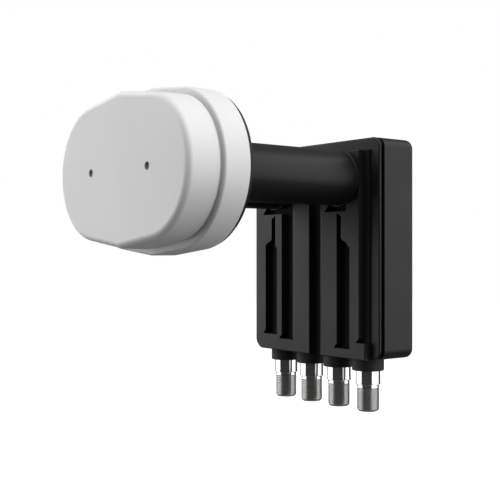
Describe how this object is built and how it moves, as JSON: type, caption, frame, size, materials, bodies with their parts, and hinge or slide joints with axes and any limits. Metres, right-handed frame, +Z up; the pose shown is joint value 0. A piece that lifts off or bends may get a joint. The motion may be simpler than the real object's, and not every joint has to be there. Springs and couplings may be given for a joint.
{
  "type": "satellite lnb",
  "caption": "Twin-feed satellite converter head with parallel clamp necks, a shared feed cap and a black ribbed housing with F ports below.",
  "frame": {"origin": "on the main neck's axis, where the neck meets the housing's ribbed front face", "axes": "-Y along both necks towards the feed cap and the dish, +X across from the second neck to the main neck, +Z up and away from the F ports"},
  "size_m": [0.0971, 0.1174, 0.1294],
  "materials": {
    "cap_plastic": "satin grey-white moulded plastic",
    "black_plastic": "fine-grained black moulded plastic",
    "neck_plastic": "smooth satin black plastic",
    "seal_rubber": "soft black rubber",
    "boot_rubber": "black rubber",
    "cast_metal": "raw die casting",
    "board_laminate": "green glass-fibre laminate",
    "screw_steel": "plated steel",
    "component_plastic": "moulded component packages",
    "port_nickel": "nickel-plated turned brass",
    "insulator_plastic": "white moulded plastic",
    "contact_brass": "sprung contact metal"
  },
  "bodies": {
    "root": {"feed_cap": "cap_plastic", "feed_back_cover": "black_plastic", "cap_seal": "seal_rubber", "main_neck_sleeve": "neck_plastic", "second_neck_sleeve": "neck_plastic", "main_feed_horn": "cast_metal", "second_feed_horn": "cast_metal", "main_tube_seal": "seal_rubber", "second_tube_seal": "seal_rubber", "front_housing": "black_plastic", "rear_cover": "black_plastic", "chassis": "cast_metal", "circuit_board": "board_laminate", "board_shield": "cast_metal", "shield_screws": "screw_steel", "board_components": "component_plastic", "port_body_1": "port_nickel", "port_insulator_1": "insulator_plastic", "port_contact_1": "contact_brass", "port_boot_1": "boot_rubber", "port_body_2": "port_nickel", "port_insulator_2": "insulator_plastic", "port_contact_2": "contact_brass", "port_boot_2": "boot_rubber", "port_body_3": "port_nickel", "port_insulator_3": "insulator_plastic", "port_contact_3": "contact_brass", "port_boot_3": "boot_rubber", "port_body_4": "port_nickel", "port_insulator_4": "insulator_plastic", "port_contact_4": "contact_brass", "port_boot_4": "boot_rubber"}
  },
  "joints": []
}
